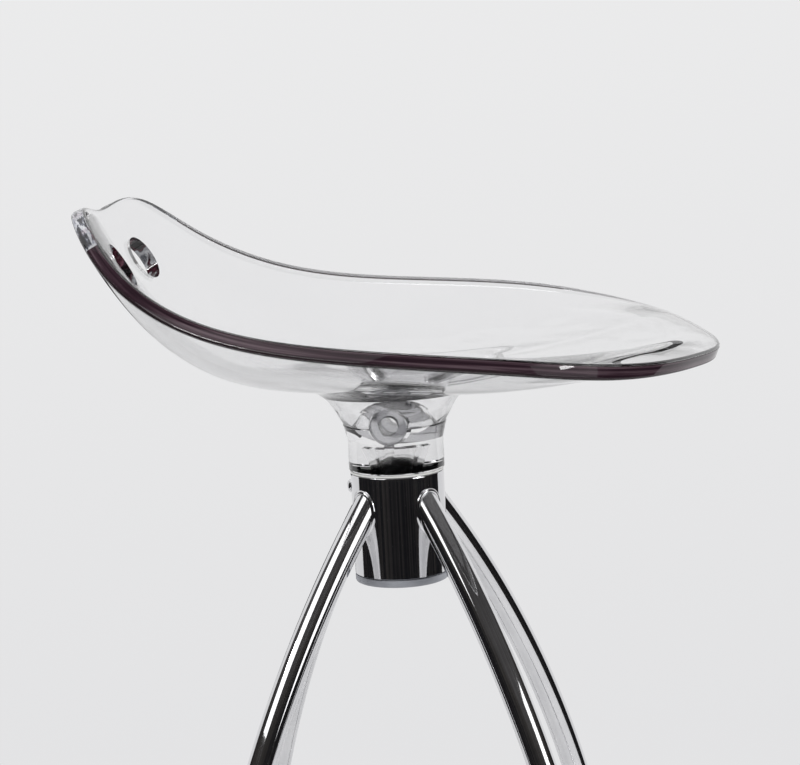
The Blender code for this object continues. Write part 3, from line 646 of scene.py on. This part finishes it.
def seatSection(angle):
    # one half section of the shell, from beside the middle of the pan to the ceiling of the socket
    shape = seatShape
    wall, corner = shape["wall"], shape["edgeRound"]
    direction = Vector((math.cos(angle), math.sin(angle), 0))
    reach = rimAt(angle)[0]
    lastShare = 1 - corner / reach
    rings = shape["rings"]
    top = [shellTop(lastShare * math.sin(math.pi / 2 * i / rings), angle) for i in range(1, rings)]
    edge = shellTop(1, angle)
    outward, normal = shellFrame(1 - shape["edgeInset"], angle)
    steps = shape["cornerRings"]
    rim = []
    for i in range(steps + 1):
        lean = math.pi / 2 * (1 - i / steps)
        away = outward * (math.cos(lean) - 1) + normal * (math.sin(lean) - 1)
        rim.append(edge + away * corner)
    for i in range(steps + 1):
        lean = math.pi / 2 * i / steps
        away = outward * (math.cos(lean) - 1) - normal * (math.sin(lean) - 1)
        rim.append(edge - normal * wall + away * corner)
    under = []
    fan = math.acos(neckShape["blendReach"] / reach / lastShare)
    for i in range(1, shape["underRings"] + 1):
        share = lastShare * math.cos(fan * i / shape["underRings"])
        under.append(shellTop(share, angle) - shellFrame(share, angle)[1] * wall)
    flare, socket = [
        [direction * radius + Vector((0, 0, height + column["top"])) for radius, height in line]
        for line in (flareLine(), socketLine())
    ]
    start, end = under[-1], flare[0]
    lean = neckShape["flareHigh"]
    pull = (start - end).length / 3
    startPull = start + (start - under[-2]).normalized() * pull
    endPull = end + (direction * math.sin(lean) + Vector((0, 0, math.cos(lean)))) * pull
    steps = shape["blendRings"]
    blend = [bezier(start, startPull, endPull, end, i / steps) for i in range(1, steps)]
    return [top, rim, under + blend + flare, socket]


# painted shade on the rim's band, corners and front tip; painted light and dark streaks at the back end
def rimFinish(angle, isBand):
    if angle > seatShape["paintedShadeEnd"]:
        return seatFinish["paintedPrismStreaks"]
    if isBand:
        return seatFinish["paintedShadeBand"]
    return seatFinish["tip" if angle < seatShape["tipEnd"] else "corner"]


def seatMesh():
    shape = seatShape
    sectors = shape["sectors"]
    grid = bmesh.new()
    rimMap = grid.loops.layers.uv.new("rimMap")  # metres along the rim and across it
    middle = grid.verts.new((0, 0, shape["pan"] + column["top"]))
    ceiling = grid.verts.new((0, 0, neckShape["ceiling"] + column["top"]))
    lines = []
    for k in range(sectors):
        parts = seatSection(2 * math.pi * k / sectors)
        lines.append([grid.verts.new(point) for part in parts for point in part])
    topEnd = len(parts[0]) - 1
    rimEnd = topEnd + len(parts[1])
    for k, line in enumerate(lines):
        following = lines[(k + 1) % sectors]
        angle = abs(math.remainder(2 * math.pi * (k + 0.5) / sectors, 2 * math.pi))
        grid.faces.new((middle, line[0], following[0]))
        for i in range(len(line) - 1):
            face = grid.faces.new((line[i], line[i + 1], following[i + 1], following[i]))
            if topEnd + shape["clearCorner"] < i < rimEnd - shape["clearUnder"]:
                for loop, (step, row) in zip(face.loops, ((0, i), (0, i + 1), (1, i + 1), (1, i))):
                    along = 2 * math.pi * (k + step) / sectors * shape["rimReach"]
                    loop[rimMap].uv = (along, (line[row].co - line[topEnd].co).length)
                face.material_index = rimFinish(angle, i == topEnd + shape["cornerRings"] + 1)
        # the ceiling's middle gets the painted dark disc
        grid.faces.new((line[-1], ceiling, following[-1])).material_index = seatFinish["paintedDarkCeiling"]
    bmesh.ops.recalc_face_normals(grid, faces=grid.faces)
    return meshFrom(grid, "seat")


def stemMesh():
    mesh = lathe([(radius, height + column["top"]) for radius, height in stemLine()], seatShape["sectors"])
    coreRadius, coreTop = neckShape["coreTopRadius"], neckShape["coreTop"] - neckShape["coreSkin"]
    for face in mesh.polygons:
        height = face.center.z - column["top"]
        if height < 0:
            face.material_index = seatFinish["spigotBlack"]
        elif math.hypot(face.center.x, face.center.y) < coreRadius and height < coreTop:
            face.material_index = seatFinish["core"]
    return mesh


def eyeCutters():
    shape = seatShape
    cutters = []
    for side in (-1, 1):
        place, normal = eyePlace(side)
        place = place - normal * shape["wall"] / 2
        cutters.append(barrel("eye", shape["eyeRadius"], shape["eyeCut"], place, normal))
    return cutters


def bushPockets():
    shape = bushShape
    depth = shape["pocket"]
    pockets = []
    for side in (-1, 1):
        place = Vector((0, side * (shape["floor"] + depth / 2), shape["height"] + column["top"]))
        pockets.append(barrel("pocket", shape["radius"] + column["gap"], depth, place, (0, 1, 0)))
    return pockets


def paintCutter(cutter, finishes):
    # painted shade and painted glints on the eye walls, clear walls and frosted floors in the pockets
    isEye = cutter.name.startswith("eye")
    for finish in finishes:
        cutter.data.materials.append(finish)
    for face in cutter.data.polygons:
        isFloor = abs(face.normal.y) > bushShape["floorTilt"]
        face.material_index = seatFinish["eye" if isEye else "core" if isFloor else "moulding"]


def makeBushes():
    shape = bushShape
    low, high, edge = shape["floor"] + column["gap"], shape["end"], shape["edge"]
    outer, bore, middle = shape["radius"], shape["bore"], 0.5 * (low + high)
    bush = lathe([
        (outer - edge, high), (outer, high - edge), (outer, middle), (outer, low),
        (bore, low), (bore, middle), (bore, high - edge), (bore + edge, high),
    ], shape["steps"], True)
    lift = Matrix.Translation((0, 0, shape["height"] + column["top"]))
    bush.transform(lift @ Matrix.Rotation(-math.pi / 2, 4, "X"))
    frosted = clearFinish("bush")
    bushes = runTree(copiesTree(), bush, {"Copies": 2, "First angle": 0.0, "Finish": frosted})
    addPiece("crossBushes", bushes, "seat", ["cross_bush_left", "cross_bush_right"])


def makeSeat():
    finishes = [plasticFinish(name) if name in plasticLook else clearFinish(name) for name in seatFinish]
    for name, node, mesh, cutters in (
        ("clearSeat", "seat", seatMesh(), eyeCutters() + bushPockets()),
        ("swivelStem", "seat_stem", stemMesh(), bushPockets()),
    ):
        for finish in finishes:
            mesh.materials.append(finish)
        for cutter in cutters:
            paintCutter(cutter, finishes)
        mesh = cutAway(mesh, cutters)
        addPiece(name, mesh, "seat", node, seatShape["sharp"])
        print(name, len(mesh.polygons), "faces")
    makeBushes()


makeSeat()


# column: tube, cap, washer, bearing sleeve and side screw
tubeShape = {"edge": 0.0008, "round": 0.3, "guard": 1.3, "split": 0.3}
capShape = {
    "thick": 0.005, "plugWall": 0.0025, "plugDepth": 0.008, "lip": 0.0004, "edge": 0.0012,
    "belly": 0.0002, "bellyShare": 0.6,
}
washerShape = {"edge": 0.0003}
screwShape = {
    "drop": 0.010, "hole": 0.0028, "holeLength": 0.016, "holeSteps": 32, "steps": 48,
    "profile": [  # radius, and height above the column's side
        (0, 0.0011), (0.0016, 0.0011), (0.0016, 0.0022), (0.0022, 0.00212), (0.0032, 0.0017),
        (0.0041, 0.0010), (0.0046, 0.0003), (0.0046, 0), (0.0025, 0), (0.0025, -0.0056), (0, -0.0056),
    ],
}


def screwSpot():
    # the side screw's direction from the axis, and its height
    turn = math.pi + column["turn"]
    return Vector((math.cos(turn), math.sin(turn), 0)), Vector((0, 0, column["top"] - screwShape["drop"]))


def makeTube():
    top, radius, bore = column["top"], column["radius"], column["bore"]
    low = top - column["length"]
    edge = tubeShape["edge"]
    near, guard = tubeShape["round"] * edge, tubeShape["guard"] * edge
    tube = lathe([
        (radius - edge, top), (radius - near, top - near), (radius, top - edge), (radius, top - guard),
        (radius, top - tubeShape["split"] * column["length"]), (radius, low + guard), (radius, low + edge),
        (radius - edge, low), (bore, low), (bore, top),
    ], column["steps"], True)
    spot, height = screwSpot()
    hole = barrel("screwHole", screwShape["hole"], screwShape["holeLength"], spot * radius + height, spot,
                  screwShape["holeSteps"])
    tube = cutAway(tube, [hole])
    tube.materials.append(chromeFinish("columnChrome", (1, 1, 0.02)))
    addPiece("columnTube", tube, "base", "hub_tube")


def makeCap():
    shape = capShape
    radius, plug = column["radius"], inner["sleeve"]
    face = column["top"] - column["length"] - column["gap"]
    foot = face - shape["thick"]
    bore, rise, belly = plug - shape["plugWall"], face + shape["plugDepth"], foot - shape["belly"]
    lip, edge = shape["lip"], shape["edge"]
    cap = lathe([
        (0, face), (bore, face), (bore, rise), (plug, rise), (plug, face),
        (radius - lip, face), (radius, face - lip), (radius, foot + edge), (radius - lip, foot + lip),
        (radius - edge, foot), (shape["bellyShare"] * radius, belly), (0, belly),
    ], column["steps"])
    cap.materials.append(plasticFinish("capPlastic"))
    addPiece("columnCap", cap, "base", "hub_cap")


def makeWasher():
    radius, bore, edge = column["radius"], inner["sleeveBore"], washerShape["edge"]
    low = column["top"] + column["gap"]
    high = low + inner["washer"]
    washer = lathe([
        (radius - edge, high), (radius, high - edge), (radius, low + edge), (radius - edge, low),
        (bore, low), (bore, high),
    ], column["steps"], True)
    washer.materials.append(plasticFinish("washerNylon"))
    addPiece("slipWasher", washer, "base", "thrust_washer")


def makeSleeve():
    outer, bore, top = inner["sleeve"], inner["sleeveBore"], column["top"] - column["gap"]
    foot = column["top"] + inner["spigotFoot"] + inner["play"]
    sleeve = lathe([(outer, top), (outer, foot), (bore, foot), (bore, top)], inner["steps"], True)
    sleeve.materials.append(plasticFinish("sleeveNylon"))
    addPiece("bearingSleeve", sleeve, "base", "swivel_sleeve")


def makeSideScrew():
    screw = lathe(screwShape["profile"], screwShape["steps"])
    spot, height = screwSpot()
    turn = spot.to_track_quat("Z", "Y").to_matrix().to_4x4()
    screw.transform(Matrix.Translation(spot * (column["radius"] + column["gap"]) + height) @ turn)
    screw.materials.append(chromeFinish("screwChrome"))
    addPiece("sideScrew", screw, "base", "side_screw")


makeTube()
makeCap()
makeWasher()
makeSleeve()
makeSideScrew()
print("column: tube, cap, washer, sleeve, side screw")


# turning gear under the spigot
plateShape = {
    "radius": 0.0277, "thick": 0.0025, "hole": 0.0023, "holeLength": 0.012, "screws": 3,
    "shank": 0.002, "shankLength": 0.012, "shankTip": 0.0003,
    "head": 0.0038, "headHeight": 0.0026, "headSteps": 6, "smallSteps": 32,
}


def makePlate():
    shape = plateShape
    radius, mouth = shape["radius"], neckShape["coreMouth"]
    face = column["top"] + inner["spigotFoot"] - column["gap"]
    under = face - shape["thick"]
    plate = lathe([(radius, face), (radius, under), (mouth, under), (mouth, face)], inner["steps"], True)
    circle = 0.5 * (mouth + inner["spigot"])
    holes = []
    for i in range(shape["screws"]):
        turn = 2 * math.pi * i / shape["screws"]
        spot = Vector((circle * math.cos(turn), circle * math.sin(turn), face))
        holes.append(barrel("plateHole", shape["hole"], shape["holeLength"], spot, (0, 0, 1),
                            shape["smallSteps"]))
    plate = cutAway(plate, holes)
    steel = steelFinish("plateSteel")
    plate.materials.append(steel)
    addPiece("retainingPlate", plate, "seat", "retaining_plate")

    head = under - column["gap"]
    end, tip, shank = head + shape["shankLength"], shape["shankTip"], shape["shank"]
    profile = [(0, end), (shank - tip, end), (shank, end - tip), (shank, head)]
    for i in range(shape["headSteps"]):
        turn = math.pi / 2 * i / shape["headSteps"]
        profile.append((shape["head"] * math.cos(turn), head - shape["headHeight"] * math.sin(turn)))
    screw = lathe(profile + [(0, head - shape["headHeight"])], shape["smallSteps"])
    screw.transform(Matrix.Translation((circle, 0, 0)))
    screws = runTree(copiesTree(), screw, {"Copies": shape["screws"], "First angle": 0.0, "Finish": steel})
    screwNodes = ["plate_screw_1", "plate_screw_2", "plate_screw_3"]
    addPiece("plateScrews", screws, "seat", screwNodes)
    print("turning gear: plate and screws")


makePlate()


# legs, their weld beads, feet and the foot ring
legShape = {
    "radius": 0.0095, "drop": 0.0257, "bend": 0.750, "end": 0.009, "leadIn": 0.030, "bite": 0.001,
    "leanTop": math.radians(39.5), "leanFoot": math.radians(17),
    "points": 110, "sides": 48, "bead": 0.0017, "beadPoints": 72,
    "firstAngle": math.pi / 4 + column["turn"],
}
legNames = ["front_left", "rear_left", "rear_right", "front_right"]
footShape = {
    "lip": 0.0013, "plug": 0.0077, "plugLength": 0.018, "edge": 0.001, "round": 0.3, "depth": 0.03,
    "steps": 64, "groundSize": 1.0, "groundReach": 0.3,
}
ringShape = {"bar": 0.007, "height": 0.285}


def legRadius(height):
    # how far the straight lower leg is from the axis
    shape = legShape
    bendRadius = column["radius"] + shape["bend"] * (math.cos(shape["leanFoot"]) - math.cos(shape["leanTop"]))
    bendDrop = shape["drop"] + shape["bend"] * (math.sin(shape["leanTop"]) - math.sin(shape["leanFoot"]))
    return bendRadius + (column["top"] - bendDrop - height) * math.tan(shape["leanFoot"])


def makeTubes():
    shape = legShape
    chrome = chromeFinish("legChrome", (1, 1, 0.05))
    tubes = runTree(legTree(), bpy.data.meshes.new("legs"), {
        "Start radius": column["radius"], "Start height": column["top"] - shape["drop"],
        "Lean at top": shape["leanTop"], "Lean at foot": shape["leanFoot"], "Bend radius": shape["bend"],
        "Foot height": shape["end"], "Lead in": shape["leadIn"], "Tube radius": shape["radius"],
        "Points": shape["points"], "Sides": shape["sides"], "Column radius": column["radius"] - shape["bite"],
        "Copies": len(legNames), "First angle": shape["firstAngle"], "Finish": chrome,
    })
    addPiece("bentLegs", tubes, "base", ["leg_" + name for name in legNames])


def beadPath():
    # where the tube's skin meets the column's
    shape = legShape
    axis = Vector((math.sin(shape["leanTop"]), 0, -math.cos(shape["leanTop"])))
    side = Vector((0, 1, 0))
    over = axis.cross(side)
    joint = Vector((column["radius"], 0, column["top"] - shape["drop"]))
    path = bmesh.new()
    corners = []
    count = shape["beadPoints"]
    for i in range(count):
        turn = 2 * math.pi * i / count
        point = joint + (side * math.cos(turn) + over * math.sin(turn)) * shape["radius"]
        flat, way = Vector((point.x, point.y)), Vector((axis.x, axis.y))
        a, b, c = way.dot(way), flat.dot(way), flat.dot(flat) - column["radius"]**2
        run = (-b + math.sqrt(b * b - a * c)) / a
        corners.append(path.verts.new(point + axis * run))
    for i in range(count):
        path.edges.new((corners[i], corners[(i + 1) % count]))
    return meshFrom(path, "beadPath")


def makeBeads():
    beads = runTree(beadTree(), beadPath(), {
        "Bead radius": legShape["bead"], "Copies": len(legNames), "First angle": legShape["firstAngle"],
        "Finish": chromeFinish("weldChrome"),
    })
    addPiece("weldBeads", beads, "base", None)


def groundBlock():
    # everything below the floor, to cut the feet level
    block = bmesh.new()
    size = footShape["groundSize"]
    place = Matrix.Translation((footShape["groundReach"], 0, -size / 2))
    bmesh.ops.create_cube(block, size=size, matrix=place)
    return addObject("ground", meshFrom(block, "ground"))


def makeFeet():
    shape = footShape
    plug, length, edge, gap = shape["plug"], shape["plugLength"], shape["edge"], column["gap"]
    pad, near = legShape["radius"] + shape["lip"], shape["round"] * edge
    foot = lathe([
        (0, length), (plug - edge, length), (plug, length - edge), (plug, -gap),
        (pad - edge, -gap), (pad - near, -gap - near), (pad, -gap - edge), (pad, -shape["depth"]),
        (0, -shape["depth"]),
    ], shape["steps"])
    tilt = Euler((0, -legShape["leanFoot"], 0)).to_matrix().to_4x4()
    foot.transform(Matrix.Translation((legRadius(legShape["end"]), 0, legShape["end"])) @ tilt)
    foot = cutAway(foot, [groundBlock()])
    feet = runTree(copiesTree(), foot, {
        "Copies": len(legNames), "First angle": legShape["firstAngle"],
        "Finish": plasticFinish("footPlastic"),
    })
    addPiece("plugFeet", feet, "base", ["foot_glide_" + name for name in legNames])


def makeRing():
    inset = (legShape["radius"] + column["gap"] + ringShape["bar"]) / math.cos(legShape["leanFoot"])
    ring = runTree(ringTree(), bpy.data.meshes.new("ring"), {
        "Ring radius": legRadius(ringShape["height"]) - inset, "Bar radius": ringShape["bar"],
        "Height": ringShape["height"], "Finish": chromeFinish("ringChrome"),
    })
    addPiece("footRing", ring, "base", "foot_ring")


makeTubes()
makeBeads()
makeFeet()
makeRing()
print("legs: tubes, weld beads, feet and foot ring")


# camera, background, floor, screens and lamps
view = {
    "place": (0.20173, -1.43539, 0.96024), "turn": (81.7811, 2.8342, 7.3908), "lens": 95.512, "sensor": 36,
}
backLook = {
    "high": (0.83, 0.83, 0.835), "low": (0.77, 0.77, 0.78), "lowAt": -0.3, "highAt": 0.05,
    "ambient": 0.75, "trapped": 0.6,
}
floorLook = {
    "radius": 3.0, "steps": 96, "fadeFrom": 0.6, "fadeTo": 1.42, "roughness": 0.9, "fibreScale": 60,
    "dark": (0.80, 0.80, 0.805), "light": (0.84, 0.84, 0.845),
}
screenShape = {"radius": 2.6, "steps": 64}
screenEdges = [  # low and high edges, then left and right ends as degrees from the camera's side
    (-0.5, 9.0, -110, 117), (0.40, 0.95, 167.3, 215),
]
screenLook = {
    "stops": [(0.0, (0.012, 0.012, 0.014)), (0.4, (0.050, 0.046, 0.043)), (1.0, (0.150, 0.147, 0.150))],
    "streakScale": 5, "streakDetail": 4, "streakStretch": (1, 1, 0.04), "streakRange": (0, 0.4, 0.45, 0.75),
    "paleRange": (0, 0.6, 0.9, 2.0),
}
lamps = {  # place, target, width, height and power
    "overhead": ((0.1, 0.2, 2.8), (0, 0, 0.7), 1.0, 1.0, 7),
    "leftSoftbox": ((-1.29, -1.31, 2.12), (-0.1, -0.1, 0.5), 1.60, 1.40, 12.0),
    "rightSoftbox": ((1.53, -0.85, 1.05), (0, 0, 1.05), 0.94, 1.16, 5.8),
    "rightHeart": ((1.50, -0.81, 1.25), (0, 0, 1.25), 0.20, 0.16, 4.0),
    "leftEdge": ((-1.60, -1.07, 1.80), (-0.1, -0.2, 0.8), 0.50, 0.12, 4.7),
}


def makeCamera():
    camera = addObject("camera", bpy.data.cameras.new("camera"))
    camera.location = view["place"]
    camera.rotation_euler = [math.radians(a) for a in view["turn"]]
    camera.data.lens = view["lens"]
    camera.data.sensor_width = view["sensor"]
    camera.data.sensor_fit = "HORIZONTAL"
    scene.camera = camera


def makeWorld():
    look = backLook
    world = bpy.data.worlds.new("studio")
    scene.world = world
    world.use_nodes = True
    tree = world.node_tree
    place = addNode(tree, "ShaderNodeTexCoord").outputs["Generated"]
    parts = addNode(tree, "ShaderNodeSeparateXYZ", {0: place})
    height = spread(tree, parts.outputs["Z"], 0, 1, look["lowAt"], look["highAt"])
    path = addNode(tree, "ShaderNodeLightPath")
    seen = sums(tree, "MAXIMUM", path.outputs["Is Camera Ray"], path.outputs["Is Glossy Ray"])
    seen = sums(tree, "MAXIMUM", seen, path.outputs["Is Transmission Ray"])
    # light that was trapped in the clear moulding comes out dimmer
    turns = sums(tree, "MAXIMUM", sums(tree, "SUBTRACT", path.outputs["Glossy Depth"], 1.0), 0.0)
    turns = sums(tree, "MULTIPLY", path.outputs["Is Transmission Ray"], turns)
    level = sums(tree, "MULTIPLY", spread(tree, seen, look["ambient"], 1.0, 0, 1),
                 sums(tree, "POWER", look["trapped"], turns))
    fillNode(tree, tree.nodes["Background"], {
        "Color": tint(tree, height, look["low"], look["high"]), "Strength": level,
    })


def endMix(tree, share, first, second):
    # the material goes from the first shader to the second with the share
    mix = addNode(tree, "ShaderNodeMixShader", {"Fac": share, 1: first.outputs[0], 2: second.outputs[0]})
    fillNode(tree, tree.nodes["Material Output"], {"Surface": mix.outputs[0]})


def makeFloor():
    look = floorLook
    shape = bmesh.new()
    bmesh.ops.create_circle(shape, cap_ends=True, segments=look["steps"], radius=look["radius"])
    floor = addObject("floor", meshFrom(shape, "floor"))
    finish, tree, shader = startFinish("paper")
    fibre = surfaceNoise(tree, look["fibreScale"])
    fillNode(tree, shader, {
        "Roughness": look["roughness"], "Base Color": tint(tree, fibre, look["dark"], look["light"]),
    })
    place = addNode(tree, "ShaderNodeTexCoord").outputs["Object"]
    far = addNode(tree, "ShaderNodeVectorMath", {0: place}, operation="LENGTH")
    fade = spread(tree, far.outputs["Value"], 0, 1, look["fadeFrom"], look["fadeTo"])
    fade.node.interpolation_type = "SMOOTHSTEP"
    endMix(tree, fade, shader, addNode(tree, "ShaderNodeBsdfTransparent"))
    floor.data.materials.append(finish)


def screenFinish():
    look = screenLook
    finish, tree, shader = startFinish("darkCloth")
    cloth = surfaceNoise(tree, look["streakScale"], look["streakDetail"], look["streakStretch"])
    place = addNode(tree, "ShaderNodeTexCoord").outputs["Object"]
    parts = addNode(tree, "ShaderNodeSeparateXYZ", {0: place})
    streaks = spread(tree, cloth, *look["streakRange"])
    high = spread(tree, parts.outputs["Z"], *look["paleRange"])
    colour = bands(tree, sums(tree, "ADD", streaks, high), look["stops"])
    fillNode(tree, shader, {"Base Color": colour, "Roughness": 1.0, "Specular IOR Level": 0.0})
    # looked at straight through the clear seat, the screen is not there
    path = addNode(tree, "ShaderNodeLightPath")
    mirrored = sums(tree, "MINIMUM", path.outputs["Glossy Depth"], 1.0)
    endMix(tree, mirrored, addNode(tree, "ShaderNodeBsdfTransparent"), shader)
    return finish


def makeScreens():
    # dark curved screens that only polished surfaces reflect: a tall one and a low strip behind
    shape = bmesh.new()
    radius, steps = screenShape["radius"], screenShape["steps"]
    toCamera = math.atan2(view["place"][1], view["place"][0])
    for low, high, left, right in screenEdges:
        left, right = math.radians(left), math.radians(right)
        rows = []
        for i in range(steps + 1):
            turn = toCamera + left + (right - left) * i / steps
            x, y = radius * math.cos(turn), radius * math.sin(turn)
            rows.append([shape.verts.new((x, y, z)) for z in (low, high)])
        for here, there in zip(rows, rows[1:]):
            shape.faces.new((here[0], there[0], there[1], here[1]))
    flag = addObject("darkScreen", meshFrom(shape, "darkScreen"))
    flag.data.materials.append(screenFinish())
    flag.visible_camera = False
    flag.visible_diffuse = False
    flag.visible_shadow = False


def addLamp(name, place, target, width, height, power):
    lamp = addObject(name, bpy.data.lights.new(name, "AREA"))
    lamp.data.shape = "RECTANGLE"
    lamp.data.size = width
    lamp.data.size_y = height
    lamp.data.energy = power
    lamp.location = place
    lamp.rotation_euler = (Vector(target) - Vector(place)).to_track_quat("-Z", "Y").to_euler()


makeCamera()
makeWorld()
makeFloor()
makeScreens()
for lampName, lampValues in lamps.items():
    addLamp(lampName, *lampValues)
print("studio: camera, floor, screens and lamps")
